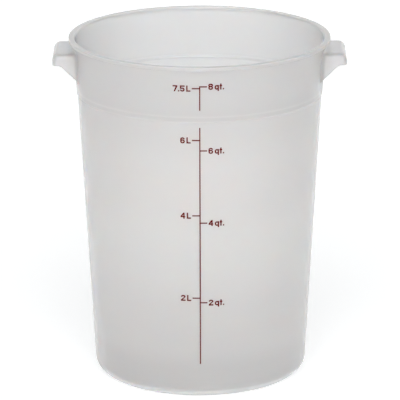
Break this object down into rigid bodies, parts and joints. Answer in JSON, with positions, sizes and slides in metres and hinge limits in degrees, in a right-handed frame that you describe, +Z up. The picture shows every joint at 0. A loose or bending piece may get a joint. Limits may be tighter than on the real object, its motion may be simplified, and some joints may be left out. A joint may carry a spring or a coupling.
{
  "type": "round food storage container",
  "caption": "Open tapered round storage tub of frosted translucent plastic with two hollow lug handles under the rim and a printed volume scale.",
  "frame": {"origin": "middle of the tub's foot, in the plane that it stands on", "axes": "+Z up along the tub's axis, +X through the right handle, -Y towards the printed scale"},
  "size_m": [0.2452, 0.2192, 0.2905],
  "materials": {
    "frosted_plastic": "natural polypropylene, frosted and translucent",
    "ink": "dark red-brown screen-printed ink"
  },
  "bodies": {
    "root": {"tub": "frosted_plastic", "left_handle": "frosted_plastic", "right_handle": "frosted_plastic", "upper_scale_line": "ink", "lower_scale_line": "ink", "litre_ticks": "ink", "quart_ticks": "ink", "litre_numerals": "ink", "quart_numerals": "ink"}
  },
  "joints": []
}
